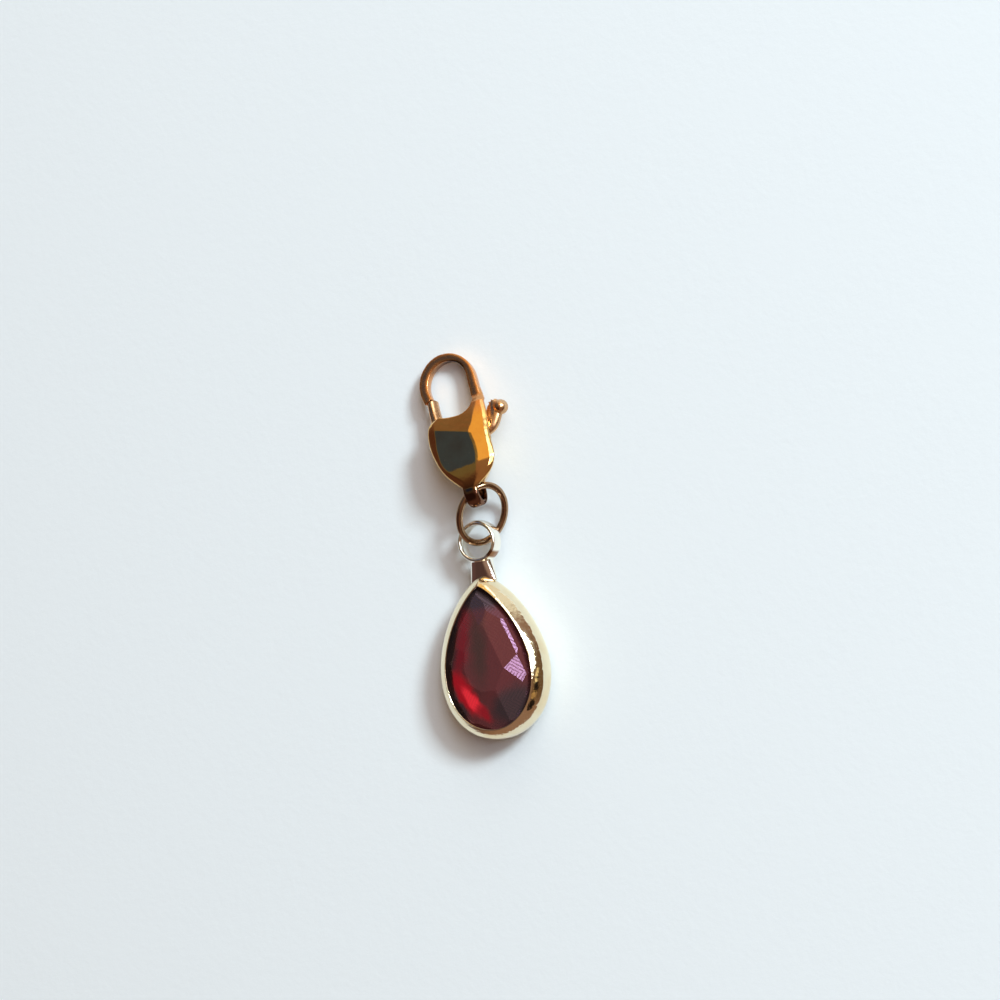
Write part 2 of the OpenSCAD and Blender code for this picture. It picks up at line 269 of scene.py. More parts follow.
def bar(rows, thickness, section):
    """A bar in the clasp's plane along rows of x, y and width, whose section is a function of width and thickness."""
    rows = np.asarray(rows, float)
    ahead = np.gradient(rows[:, :2], axis=0)
    ahead /= np.linalg.norm(ahead, axis=1)[:, None]
    rings = []
    for (x, y, w), (dx, dy) in zip(rows, ahead):
        p = section(w, thickness)
        rings.append(np.c_[x + dy * p[:, 0], y - dx * p[:, 0], p[:, 1]])
    return skin(rings)


def prism(outline, half):
    """An outline drawn out by half a thickness to each side of its plane."""
    pts = np.asarray(outline, float)
    return skin([np.c_[pts, np.full(len(pts), z)] for z in (-half, half)])


def disc(at, r, steps=96):
    """The points round a circle."""
    t = 2 * np.pi * np.arange(steps) / steps
    return np.c_[at[0] + r * np.cos(t), at[1] + r * np.sin(t)]


def turned_on_x(profile, at, flat, steps=96):
    """A closed profile of x and radius, turned about a line along X through at, and squeezed along Z by flat."""
    profile = np.asarray(profile, float)
    rings = []
    for t in 2 * np.pi * np.arange(steps) / steps:
        rings.append(np.c_[
            at[0] + profile[:, 0], at[1] + profile[:, 1] * math.cos(t), flat * profile[:, 1] * math.sin(t),
        ])
    return skin(rings, endless=True)


def ball(at, r, steps=40):
    """A ball of rings from pole to pole, with a small flat at each."""
    rings = []
    for lat in np.linspace(-89, 89, steps):
        c, s = r * math.cos(math.radians(lat)), r * math.sin(math.radians(lat))
        rings.append(np.c_[disc(at, c, steps), np.full(steps, s)])
    return skin(rings)


def pear_edge(t):
    """The glass's outline at angle t in degrees, from its tip round by the right."""
    a = math.radians(t)
    return np.array([PEAR_X * math.sin(a) * abs(math.sin(a / 2)) ** PEAR_TAPER, PEAR_Y * math.cos(a)])


def pear(t, grow=0.0):
    """The glass's outline at angle t, moved outwards by grow."""
    d = pear_edge(t + 0.5) - pear_edge(t - 0.5)
    return pear_edge(t) + grow * np.array([-d[1], d[0]]) / np.linalg.norm(d)


# From shapes to Blender objects

def new_object(name, data):
    """A new object in the scene."""
    made = bpy.data.objects.new(name, data)
    bpy.context.scene.collection.objects.link(made)
    return made


def raw_object(name, shape):
    """An object with a mesh of the shape's vertices and faces, all facing out."""
    verts, faces = shape
    mesh = bpy.data.meshes.new(name)
    mesh.from_pydata(np.asarray(verts, float).tolist(), [], faces)
    work = bmesh.new()
    work.from_mesh(mesh)
    bmesh.ops.recalc_face_normals(work, faces=work.faces)
    work.to_mesh(mesh)
    work.free()
    return new_object(name, mesh)


def apply_modifiers(obj):
    """Gives the object the mesh that its modifiers make."""
    bpy.context.view_layer.update()
    graph = bpy.context.evaluated_depsgraph_get()
    mesh = bpy.data.meshes.new_from_object(obj.evaluated_get(graph), depsgraph=graph)
    obj.modifiers.clear()
    old = obj.data
    obj.data = mesh
    bpy.data.meshes.remove(old)


def combine(base, how, *others):
    """Joins, cuts or keeps the overlap of base with others, which are used up."""
    for other in others:
        step = base.modifiers.new(how.lower(), "BOOLEAN")
        step.operation = how
        step.solver = "EXACT"
        step.object = other
        apply_modifiers(base)
        bpy.data.meshes.remove(other.data)


def cast_skin(obj, voxel, passes):
    """One even skin over a cast piece, with its edges softened as tumbling and polishing leave them."""
    step = obj.modifiers.new("even", "REMESH")
    step.mode = "VOXEL"
    step.voxel_size = voxel
    step = obj.modifiers.new("soft", "SMOOTH")
    step.factor = 0.5
    step.iterations = passes
    apply_modifiers(obj)


def place(obj, where, material, body, node):
    """Puts a piece built in millimetres into the row's frame, and makes it stand for its node."""
    obj.data.transform(Matrix.Scale(MM, 4) @ where)
    obj.data.shade_smooth()
    obj.data.materials.clear()
    obj.data.materials.append(material)
    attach(obj, body)
    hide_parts(node)


# Materials

def linear(code):
    """A colour's sRGB hex code as linear red, green and blue."""
    parts = [int(code[i:i + 2], 16) / 255 for i in (1, 3, 5)]
    return tuple(c / 12.92 if c <= 0.04045 else ((c + 0.055) / 1.055) ** 2.4 for c in parts)


def add_node(tree, kind, settings=None, links=None):
    """Adds a node with its properties, its sockets' values and its links."""
    made = tree.nodes.new(kind)
    for name, value in (settings or {}).items():
        if isinstance(name, str) and hasattr(made, name):
            setattr(made, name, value)
        else:
            made.inputs[name].default_value = value
    for name, source in (links or {}).items():
        tree.links.new(source, made.inputs[name])
    return made


def new_material(name):
    """An empty material, its node tree, and the object's own place in millimetres."""
    made = bpy.data.materials.new(name)
    made.use_nodes = True
    tree = made.node_tree
    tree.nodes.clear()
    at = add_node(tree, "ShaderNodeTexCoord")
    mm = add_node(tree, "ShaderNodeMapping", {"Scale": PER_MM}, {"Vector": at.outputs["Object"]})
    return made, tree, mm


def soft_spot(tree, where, centre, size, turn, soft):
    """How much a place lies in a soft-edged ellipse, seen from the front, in millimetres."""
    local = add_node(tree, "ShaderNodeMapping", {
        "vector_type": "TEXTURE", "Location": (*centre, 0), "Rotation": (0, 0, math.radians(turn)),
        "Scale": (*size, 1),
    }, {"Vector": where})
    flat = add_node(tree, "ShaderNodeVectorMath", {"operation": "MULTIPLY", 1: (1, 1, 0)},
                    {0: local.outputs["Vector"]})
    away = add_node(tree, "ShaderNodeVectorMath", {"operation": "LENGTH"}, {0: flat.outputs["Vector"]})
    share = add_node(tree, "ShaderNodeMapRange", {
        "interpolation_type": "SMOOTHSTEP", "From Min": 1 + soft, "From Max": 1 - soft,
    }, {"Value": away.outputs["Value"]})
    return share.outputs["Result"]


def plated_metal(name, plate, thin, rough, wave, scratch, duller_from=None, tones_and_painted_shade_along_y=(), painted_dark_spots=()):
    """Polished metal under gold plate.

    plate is its colour, and thin the redder colour where little gold is left. rough is the polish's roughness,
    and wave and scratch are how much its slow waves and fine lines show. tones_and_painted_shade_along_y lists
    where along Y the plate goes over to another colour, for its own tones and for painted shade alike: start, end
    and colour. painted_dark_spots lists spots of painted shade and painted dark reflection: centre, half sizes,
    turn, softness and colour. Places are in millimetres.
    """
    made, tree, mm = new_material(name)
    where = mm.outputs["Vector"]

    patch = add_node(tree, "ShaderNodeTexNoise", {"Scale": 0.45, "Detail": 3.0, "Roughness": 0.6},
                     {"Vector": where})
    share = add_node(tree, "ShaderNodeMapRange",
                     {"From Min": 0.45, "From Max": 0.75, "To Min": 0.0, "To Max": 0.65},
                     {"Value": patch.outputs["Fac"]})
    tone = add_node(tree, "ShaderNodeMix", {"data_type": "RGBA", 6: (*plate, 1), 7: (*thin, 1)},
                    {"Factor": share.outputs["Result"]}).outputs[2]
    along = add_node(tree, "ShaderNodeSeparateXYZ", None, {"Vector": where}).outputs["Y"]
    over = []
    # colours along Y: the plate's own tones, and painted shade
    for start, end, code in tones_and_painted_shade_along_y:
        tone_and_shade_share = add_node(tree, "ShaderNodeMapRange", {"From Min": start, "From Max": end}, {"Value": along})
        over.append((tone_and_shade_share.outputs["Result"], code))
    # spots of painted shade and painted dark reflection laid over the plate
    for centre, size, turn, soft, code in painted_dark_spots:
        over.append((soft_spot(tree, where, centre, size, turn, soft), code))
    for factor, code in over:
        tone = add_node(tree, "ShaderNodeMix", {"data_type": "RGBA", 7: (*linear(code), 1)},
                        {"Factor": factor, 6: tone}).outputs[2]

    # the polish varies slowly, and is duller where fingers and cloths smear it
    smear = add_node(tree, "ShaderNodeTexNoise", {"Scale": 1.6, "Detail": 4.0, "Roughness": 0.65},
                     {"Vector": where})
    polish = add_node(tree, "ShaderNodeMapRange",
                      {"From Min": 0.3, "From Max": 0.75, "To Min": rough * 0.6, "To Max": rough * 1.7},
                      {"Value": smear.outputs["Fac"]}).outputs["Result"]
    if duller_from is not None:
        # less polished beyond this place along Y, where a wheel doesn't reach
        share = add_node(tree, "ShaderNodeMapRange", {
            "From Min": duller_from, "From Max": duller_from + 0.8, "To Min": 0.0, "To Max": 0.17,
        }, {"Value": along})
        polish = add_node(tree, "ShaderNodeMath", {"operation": "ADD"},
                          {0: polish, 1: share.outputs["Result"]}).outputs[0]

    # slow waves under the plate bend what it mirrors, and fine lines run along the polish
    peel = add_node(tree, "ShaderNodeTexNoise", {"Scale": 2.4, "Detail": 2.0}, {"Vector": where})
    waves = add_node(tree, "ShaderNodeBump", {"Strength": wave, "Distance": 0.00006},
                     {"Height": peel.outputs["Fac"]})
    long = add_node(tree, "ShaderNodeMapping", {"Rotation": (0.3, 0.2, 0.9), "Scale": (26, 2.2, 26)},
                    {"Vector": where})
    lines = add_node(tree, "ShaderNodeTexNoise", {"Scale": 1.0, "Detail": 1.0},
                     {"Vector": long.outputs["Vector"]})
    fine = add_node(tree, "ShaderNodeBump", {"Strength": scratch, "Distance": 0.00001},
                    {"Height": lines.outputs["Fac"], "Normal": waves.outputs["Normal"]})

    metal = add_node(tree, "ShaderNodeBsdfPrincipled", {"Metallic": 1.0},
                     {"Base Color": tone, "Roughness": polish, "Normal": fine.outputs["Normal"]})
    add_node(tree, "ShaderNodeOutputMaterial", None, {"Surface": metal.outputs["BSDF"]})
    return made


def cast_gold_clasp():
    """Cast brass, tumbled, then flash plated in gold: a mirror with slow waves, warm and reddish where it thins."""
    s = bpy.context.scene.charm_clasp
    return plated_metal(
        "gold_plated_cast_brass", s.plate_colour, s.thin_colour, s.roughness, 0.14, 0.05, duller_from=9.3,
        # the plate turns redder towards the hook; the tail's darker colour is painted shade, where the ring and its
        # shadow fall on it
        tones_and_painted_shade_along_y=((9.3, 10.3, "#E2A26A"), (4.4, 3.8, "#7A5846")),
        # painted shade: a dark spot over the hook's inner wall, where it mirrors the shadowed floor
        painted_dark_spots=(((-1.12, 13.0), (1.5, 1.06), 10, 0.08, "#4A3020"),))


def rubbed_lever():
    """The lever's plate, dulled and reddened by the thumb that presses it: its highlights are soft."""
    return plated_metal(
        "gold_plate_rubbed_by_the_thumb", linear("#DCB084"), linear("#B07E52"), 0.26, 0.14, 0.05)


def pale_gold_frame():
    """Stamped and soldered brass under pale champagne plate: bright, smooth, a little creamier in patches."""
    s = bpy.context.scene.charm_frame
    return plated_metal("pale_gold_plated_brass_frame", s.plate_colour, s.thin_colour, s.roughness, 0.4, 0.06)


def bright_loop():
    """The soldered neck and loop: the band's pale plate made whiter as a painted highlight, with a painted dark
    reflection spot.
    """
    s = bpy.context.scene.charm_frame
    return plated_metal(
        "pale_gold_plated_soldered_loop", linear("#FFFCF2"), linear("#FDF3DE"), s.roughness, 0.15, 0.06,
        # painted dark reflection: a brown spot at the loop's lower right
        painted_dark_spots=(((1.15, -1.05), (0.55, 0.3), -35, 0.4, "#94694A"),))


def drawn_gold_wire():
    """Drawn brass wire, cut, closed and plated: fine drawing lines, darker than the cast pieces."""
    s = bpy.context.scene.charm_ring
    return plated_metal("gold_plated_drawn_wire", s.plate_colour, s.thin_colour, s.roughness, 0.2, 0.3)


def plain_brass_pin():
    """Plain turned brass for the pin inside the clasp: duller than the plated metal round it."""
    return plated_metal("turned_brass_pin", linear("#C9A25A"), linear("#A87B45"), 0.25, 0.1, 0.4)


# Painted light and shade inside the glass, as seen from the front, for its red glow, dark edges and dark middle:
# centre, half sizes, turn, softness, colour, and how clear it is there
PAINTED_LIGHT_AND_SHADE_IN_GLASS = (
    ("painted shade at the left edge", (-2.85, 1.0), (0.8, 3.2), -14, 0.4, "#463638", 0.4),
    ("painted red light along the left", (-1.75, 1.0), (0.5, 3.2), -14, 0.8, "#8A2832", 0.35),
    ("painted shade in the middle", (-0.3, 0.6), (0.6, 2.6), -5, 0.8, "#5C403C", 0.45),
    ("painted shade at the tip", (0.1, 4.5), (1.7, 1.1), 0, 0.4, "#46383A", 0.3),
    ("painted shade at the foot's right", (1.6, -3.7), (1.9, 1.2), 35, 0.5, "#46383A", 0.3),
    ("painted shade at the lower left edge", (-2.9, -3.2), (0.6, 1.4), 25, 0.4, "#463638", 0.3),
    ("painted red glow at the lower left", (-1.95, -2.45), (0.8, 1.75), 24, 0.3, "#B51C28", 0.12),
    ("brightest part of the painted glow", (-1.55, -2.95), (0.42, 1.15), 28, 0.5, "#FF3644", 0.04),
    ("painted red light at the foot", (-0.7, -4.1), (0.45, 0.7), 30, 0.6, "#A0222C", 0.2),
)


def red_glass():
    """Pressed and fire polished garnet glass: clear and dark, with painted shade and a painted red glow at the side
    away from the lamp.
    """
    s = bpy.context.scene.charm_glass
    made, tree, mm = new_material("fire_polished_red_glass")
    mm.inputs["Location"].default_value = (-DROP_AT[0], -DROP_AT[1], 0)
    where = mm.outputs["Vector"]

    # the painted light and shade's edges wander, by up to half a millimetre
    drift = add_node(tree, "ShaderNodeTexNoise", {"Scale": 0.8, "Detail": 2.0}, {"Vector": where})
    moved = add_node(tree, "ShaderNodeVectorMath", {"operation": "MULTIPLY_ADD", 1: (0.9, 0.9, 0.9)},
                     {0: drift.outputs["Color"], 2: where})
    inner = add_node(tree, "ShaderNodeVectorMath", {"operation": "SUBTRACT", 1: (0.45, 0.45, 0.45)},
                     {0: moved.outputs["Vector"]}).outputs["Vector"]
    colour, clear = None, None
    for name, centre, size, turn, soft, code, clearness in PAINTED_LIGHT_AND_SHADE_IN_GLASS:
        share = soft_spot(tree, inner, centre, size, turn, soft)
        colour = add_node(tree, "ShaderNodeMix", {
            "data_type": "RGBA", "label": name, 6: (*s.glass_colour, 1), 7: (*linear(code), 1),
        }, {"Factor": share, **({6: colour} if colour else {})}).outputs[2]
        clear = add_node(tree, "ShaderNodeMix", {
            "data_type": "FLOAT", 2: s.clearness, 3: clearness,
        }, {"Factor": share, **({2: clear} if clear else {})}).outputs[0]

    # painted reflection: crossed hatching in the glass's specular strength stands in for the woven blind that the
    # facets mirror; it only shows where a facet catches the light, drawn coarse enough to be seen
    pick = add_node(tree, "ShaderNodeTexNoise", {"Scale": 1.1, "Detail": 0.0}, {"Vector": where})
    either = add_node(tree, "ShaderNodeMapRange", {"From Min": 0.46, "From Max": 0.54},
                      {"Value": pick.outputs["Fac"]})
    waves = []
    for turn in (38, -52):
        ruled = add_node(tree, "ShaderNodeMapping", {"Rotation": (0, 0, math.radians(turn))}, {"Vector": where})
        waves.append(add_node(tree, "ShaderNodeTexWave", {"Scale": 1.45, "Distortion": 1.0, "Detail": 1.0},
                              {"Vector": ruled.outputs["Vector"]}).outputs["Fac"])
    painted_blind_hatch = add_node(tree, "ShaderNodeMix", {"data_type": "FLOAT"},
                     {"Factor": either.outputs["Result"], 2: waves[0], 3: waves[1]})
    painted_reflection_strength = add_node(tree, "ShaderNodeMapRange",
                     {"From Min": 0.3, "From Max": 0.7, "To Min": 0.12, "To Max": 1.0},
                     {"Value": painted_blind_hatch.outputs[0]})

    peel = add_node(tree, "ShaderNodeTexNoise", {"Scale": 0.9, "Detail": 1.0}, {"Vector": where})
    bump = add_node(tree, "ShaderNodeBump", {"Strength": 0.1, "Distance": 0.00003},
                    {"Height": peel.outputs["Fac"]})
    glass = add_node(tree, "ShaderNodeBsdfPrincipled", {
        # painted reflection: the purple specular tint stands in for the colour of the lit blind and curtain that the
        # glass mirrors
        "IOR": 1.6, "Roughness": 0.02, "Specular Tint": (0.86, 0.6, 0.95, 1),
    }, {
        "Base Color": colour, "Transmission Weight": clear, "Normal": bump.outputs["Normal"],
        "Specular IOR Level": painted_reflection_strength.outputs["Result"],
    })
    add_node(tree, "ShaderNodeOutputMaterial", None, {"Surface": glass.outputs["BSDF"]})
    return made


def pale_card():
    """Matt pale card for the floor: soft, with a faint fibre."""
    s = bpy.context.scene.charm_stage
    made, tree, mm = new_material("matt_pale_card")
    fibre = add_node(tree, "ShaderNodeTexNoise", {"Scale": 1.2, "Detail": 5.0, "Roughness": 0.7},
                     {"Vector": mm.outputs["Vector"]})
    raised = add_node(tree, "ShaderNodeBump", {"Strength": 0.2, "Distance": 0.0001},
                      {"Height": fibre.outputs["Fac"]})
    card = add_node(tree, "ShaderNodeBsdfPrincipled", {"Base Color": (*s.floor_colour, 1), "Roughness": 0.9},
                    {"Normal": raised.outputs["Normal"]})
    add_node(tree, "ShaderNodeOutputMaterial", None, {"Surface": card.outputs["BSDF"]})
    return made


# Settings that a user would change

class CharmClaspSettings(bpy.types.PropertyGroup):
    """The clasp's skin and plate"""
    skin_step: bpy.props.FloatProperty(
        name="Skin step", description="Spacing of the clasp's skin, in millimetres",
        default=0.0455, min=0.03, max=0.1)
    softening: bpy.props.IntProperty(
        name="Softening", description="How often the clasp's edges are softened", default=5, min=0, max=40)
    plate_colour: bpy.props.FloatVectorProperty(
        name="Plate", description="Colour of the clasp's gold plate",
        default=linear("#EBC07A"), size=3, subtype="COLOR")
    thin_colour: bpy.props.FloatVectorProperty(
        name="Thin plate", description="Colour where the plate is thin",
        default=linear("#D99A5B"), size=3, subtype="COLOR")
    roughness: bpy.props.FloatProperty(
        name="Roughness", description="Roughness of the polish", default=0.08, min=0.0, max=1.0, subtype="FACTOR")


class CharmFrameSettings(bpy.types.PropertyGroup):
    """The frame's fineness and plate"""
    stations: bpy.props.IntProperty(
        name="Stations", description="Sections round the frame", default=320, min=72, max=720)
    plate_colour: bpy.props.FloatVectorProperty(
        name="Plate", description="Colour of the frame's pale gold plate",
        default=linear("#F3E6C6"), size=3, subtype="COLOR")
    thin_colour: bpy.props.FloatVectorProperty(
        name="Thin plate", description="Colour where the plate is thin",
        default=linear("#E9CF9F"), size=3, subtype="COLOR")
    roughness: bpy.props.FloatProperty(
        name="Roughness", description="Roughness of the polish", default=0.09, min=0.0, max=1.0, subtype="FACTOR")


class CharmRingSettings(bpy.types.PropertyGroup):
    """The jump ring's fineness and plate"""
    stations: bpy.props.IntProperty(
        name="Stations", description="Sections round the jump ring", default=240, min=48, max=720)
    plate_colour: bpy.props.FloatVectorProperty(
        name="Plate", description="Colour of the ring's plate",
        default=linear("#AE8F70"), size=3, subtype="COLOR")
    thin_colour: bpy.props.FloatVectorProperty(
        name="Thin plate", description="Colour where the plate is thin",
        default=linear("#85604C"), size=3, subtype="COLOR")
    roughness: bpy.props.FloatProperty(
        name="Roughness", description="Roughness of the wire", default=0.14, min=0.0, max=1.0, subtype="FACTOR")


class CharmGlassSettings(bpy.types.PropertyGroup):
    """The glass's colour and clearness"""
    glass_colour: bpy.props.FloatVectorProperty(
        name="Glass", description="Colour of the glass", default=linear("#7E4244"), size=3, subtype="COLOR")
    clearness: bpy.props.FloatProperty(
        name="Clearness", description="How much light passes straight through",
        default=0.5, min=0.0, max=1.0, subtype="FACTOR")


class CharmStageSettings(bpy.types.PropertyGroup):
    """The floor, the room's light and the camera"""
    floor_colour: bpy.props.FloatVectorProperty(
        name="Floor", description="Colour of the floor", default=linear("#E6EEF4"), size=3, subtype="COLOR")
    room_light: bpy.props.FloatProperty(
        name="Room light", description="Strength of the light from the room", default=1.0, min=0.0, max=10.0)
    distance: bpy.props.FloatProperty(
        name="Camera distance", description="From the charm to the camera",
        default=0.25, min=0.1, max=1.0, subtype="DISTANCE", unit="LENGTH")
    view_width: bpy.props.FloatProperty(
        name="View width", description="Width of the view at the charm",
        default=0.0746, min=0.02, max=0.3, subtype="DISTANCE", unit="LENGTH")


# Pieces

def tilted(azimuth, tilt):
    """A facet's direction: leaning so many degrees from straight up, towards an azimuth."""
    a, e = math.radians(azimuth), math.radians(tilt)
    return np.array([math.sin(e) * math.cos(a), math.sin(e) * math.sin(a), math.cos(e)])


def facing(t):
    """The azimuth that the outline faces at angle t."""
    d = pear(t + 0.5) - pear(t - 0.5)
    return math.degrees(math.atan2(d[0], -d[1]))


def crown():
    """The facets all round as angle, direction and point: steep ones at the edge, flatter ones by the table."""
    step = 360 // CROWN_SIDES
    facets = []
    for t in range(step // 2, 360, step):
        azimuth = facing(t)
        edge = RIGHT_EDGE_HEIGHT if abs(azimuth) < 60 else EDGE_HEIGHT
        facets.append((t, tilted(azimuth, EDGE_TILT), (*pear(t), edge)))
    for t in range(0, 360, step):
        facets.append((t, tilted(facing(t), TABLE_TILT), (*(pear(t) * TABLE_SHARE), GLASS_T / 2)))
    return facets


def cut(mesh, direction, point):
    """Grinds one flat facet on a convex stone, facing a direction and through a point."""
    found = bmesh.ops.bisect_plane(
        mesh, geom=mesh.verts[:] + mesh.edges[:] + mesh.faces[:], plane_co=point, plane_no=direction,
        clear_outer=True)
    edges = [e for e in found["geom_cut"] if isinstance(e, bmesh.types.BMEdge)]
    if edges:
        bmesh.ops.edgeloop_fill(mesh, edges=edges)


class CHARM_OT_glass(bpy.types.Operator):
    """Cuts the glass drop from a pear-shaped blank, facet by facet"""
    bl_idname = "charm.glass"
    bl_label = "Glass drop"

    def execute(self, context):
        blank = [pear(t, GLASS_UNDER_RIM) for t in range(0, 360, 5)]
        stone = raw_object("cut_glass_drop", prism(blank, GLASS_T / 2))
        mesh = bmesh.new()
        mesh.from_mesh(stone.data)
        for t, direction, point in crown():
            if not RIGHT_SIDE[0] < t < RIGHT_SIDE[1]:
                cut(mesh, direction, point)
        for _, azimuth, tilt, point in SIDE_FACETS:
            cut(mesh, tilted(azimuth, tilt), point)
        for _, (dx, dy, dz), (x, y, z) in crown():
            out, low = (BACK_TABLE_GROWTH, z) if z == GLASS_T / 2 else (1.0, BACK_EDGE_HEIGHT)
            cut(mesh, (dx, dy, -dz), (x * out, y * out, -low))
        mesh.to_mesh(stone.data)
        mesh.free()
        place(stone, in_drop(), red_glass(), "charm", "glass_drop")
        stone.data.shade_flat()
        return {"FINISHED"}


def frame_section(flat, steep, gentle):
    """The frame's section as offset from the glass's edge and height, with a shoulder whose flatter part is so
    wide, whose steeper part is so wide, and which starts more gently by a share."""
    top = FRAME_H / 2
    parts = ((FLAT_FROM - GENTLER * gentle, FLAT_TO, FLAT_STEPS, flat), (STEEP_FROM, STEEP_TO, STEEP_STEPS, steep))
    runs = [(a + (b - a) * (i + 0.5) / n, width / n) for a, b, n, width in parts for i in range(n)]
    x, z = 0.0, top
    half = [(offset, top + up) for offset, up in LIP]
    for tilt, run in runs:
        x, z = x + run, z - run * math.tan(math.radians(tilt))
        half.append((x, z))
    fall, c, s = z, math.cos(math.radians(WALL_FROM)), math.sin(math.radians(WALL_FROM))
    for a in np.radians(np.linspace(WALL_FROM, 90, 9)[1:]):
        half.append((x + WALL_BULGE * fall * (math.sin(a) - s) / c, fall * math.cos(a) / c))
    below = [(x, -z) for x, z in reversed(half[:-1])]
    return half + below + [(GROOVE, -GROOVE_H / 2), (GROOVE, GROOVE_H / 2)]


class CHARM_OT_frame(bpy.types.Operator):
    """Builds the gold frame round the glass, with its neck and hanging loop"""
    bl_idname = "charm.frame"
    bl_label = "Gold frame"

    def execute(self, context):
        stations = context.scene.charm_frame.stations
        around = 360 * np.arange(stations) / stations
        at, *widths = np.array(SHOULDER).T
        widths = np.array([np.interp(around, at, w) for w in widths])
        for _ in range(SHOULDER_SMOOTHING):
            widths = (np.roll(widths, 1, axis=1) + 2 * widths + np.roll(widths, -1, axis=1)) / 4
        rings = []
        for t, flat, steep in zip(around, *widths):
            # the shoulder starts more gently along the right side
            gentle = min(1.0, max(0.0, 0.5 + 1.2 * math.sin(math.radians(t))))
            rings.append([(*pear(t, x), z) for x, z in frame_section(flat, steep, gentle)])
        band = raw_object("frame_band", skin(rings, endless=True))
        place(band, in_drop(), pale_gold_frame(), "charm", "bezel")

        middle = LOOP_D / 2 - LOOP_T / 2
        rings = []
        for t in 2 * np.pi * np.arange(160) / 160:
            p = soft_square(LOOP_T, LOOP_W, 3, 40)
            crowned = LOOP_CROWN * np.maximum(p[:, 0], 0) / LOOP_T * (1 - (2 * p[:, 1] / LOOP_W) ** 2)
            r = middle + p[:, 0] + crowned
            rings.append(np.c_[r * math.cos(t), LOOP_Y + r * math.sin(t), p[:, 1]])
        loop = raw_object("neck_and_loop", skin(rings, endless=True))
        rings = []
        for f in np.linspace(0, 1, 24):
            w = NECK_TOP_W + (NECK_FOOT_W - NECK_TOP_W) * f
            h = LOOP_W + (NECK_FOOT_H - LOOP_W) * f
            p = soft_square(w, h, 2.1, 48)
            rings.append(np.c_[p[:, 0], np.full(48, NECK_TOP_Y + (NECK_FOOT_Y - NECK_TOP_Y) * f), p[:, 1]])
        neck = raw_object("neck", skin(rings))
        combine(neck, "DIFFERENCE", raw_object("inside", prism(disc((0, LOOP_Y), middle, 160), LOOP_W)))
        combine(loop, "UNION", neck)
        cast_skin(loop, LOOP_SKIN, LOOP_SOFTENING)
        place(loop, in_drop(), bright_loop(), "charm", "bezel")
        return {"FINISHED"}


class CHARM_OT_ring(bpy.types.Operator):
    """Builds the jump ring of round wire"""
    bl_idname = "charm.ring"
    bl_label = "Jump ring"

    def execute(self, context):
        n = context.scene.charm_ring.stations
        a, b = (RING_W - RING_WIRE) / 2, (RING_L - RING_WIRE) / 2
        side = 2 * np.pi * np.arange(WIRE_SIDES) / WIRE_SIDES
        r, up = RING_WIRE / 2 * np.cos(side), RING_WIRE / 2 * np.sin(side)
        rings = []
        for t in 2 * np.pi * np.arange(n) / n:
            out = np.array([b * math.cos(t), a * math.sin(t)])
            out /= np.linalg.norm(out)
            rings.append(np.c_[a * math.cos(t) + out[0] * r, b * math.sin(t) + out[1] * r, up])
        ring = raw_object("round_wire_ring", skin(rings, endless=True))
        place(ring, in_ring(), drawn_gold_wire(), "charm", "jump_ring")
        return {"FINISHED"}


def body_section(row):
    """One section of the clasp's body: a flat face, polished flats down its right side and one down its left."""
    y, left, right, face_left, face_right, share, overhang = row
    half = CLASP_T / 2 * share

    def face_height(x):
        """The face's height, less where it falls away towards the mouth."""
        away = (x - BEVEL_FROM[0]) * BEVEL_TOWARDS[0] + (y - BEVEL_FROM[1]) * BEVEL_TOWARDS[1]
        return min(half, CLASP_T / 2 - BEVEL_SLOPE * max(away, 0))

    # from the face outwards at the right: a narrow border, the broad flank, and the bright flat at the edge
    out = right + overhang
    bright = min(BRIGHT_W, BRIGHT_SHARE * (out - face_right))
    border = min(BORDER_W, BORDER_SHARE * (out - bright - face_right))
    x1, x2 = face_right + border, out - bright
    z1 = face_height(x1) - BORDER_SLOPE * border
    z2 = z1 - FLANK_SLOPE * (x2 - x1)
    edge = z2 - BRIGHT_SLOPE * bright
    flank = [(x1 + (x2 - x1) * s, z1 + (z2 - z1) * s) for s in np.linspace(0, 1, 9)]
    right_side = [
        (right, 0.0), (right, 0.35 * edge), (right + 0.3 * overhang, 0.65 * edge), (out - 0.03, 0.88 * edge),
        (out, 0.95 * edge), (out - 0.01, edge), (out - bright / 2, (edge + z2) / 2), *flank[::-1],
    ]
    face = [(x, face_height(x)) for x in np.linspace(face_right, face_left, 26)]
    corner = half - LEFT_SLOPE * (face_left - left - LEFT_EDGE)
    left_side = [(x, min(z, face_height(x))) for x, z in (
        ((face_left + left + LEFT_EDGE) / 2, (half + corner) / 2), (left + LEFT_EDGE, corner),
        (left + 0.04, corner - 0.08), (left, corner - 0.25), (left, 0.5 * corner), (left, 0.0),
    )]
    top = np.array(right_side + face + left_side)
    back = top * [1, -1]
    back[:, 0] = np.minimum(back[:, 0], right + TURNED_UNDER * back[:, 1])
    ring = np.vstack([top, back[::-1][1:-1]])
    return np.c_[ring[:, 0], np.full(len(ring), y), ring[:, 1]]


def hook_path():
    """Rows of x, y and width from the hook's tip, over its arch, to its foot in the body."""
    angles = np.arange(180, -1, -15)
    reach = np.interp(angles, *zip(*ARCH_REACH))
    width = np.interp(angles, *zip(*ARCH_BAR))
    over = [
        (ARCH[0] + r * math.cos(math.radians(t)), ARCH[1] + r * math.sin(math.radians(t)), w)
        for t, r, w in zip(angles, reach, width)
    ]
    return faired([*HOOK_TIP, *over, *HOOK_FOOT], 9)


def gate_sweep():
    """The quarter disc that the gate's end sweeps round the pivot, which the hook's tip stays clear of."""
    close = 1e-6
    arc = disc(PIVOT, TIP_ARC, 384)
    return [p for p in arc if p[0] <= PIVOT[0] + close and p[1] >= PIVOT[1] - close] + [np.array(PIVOT)]


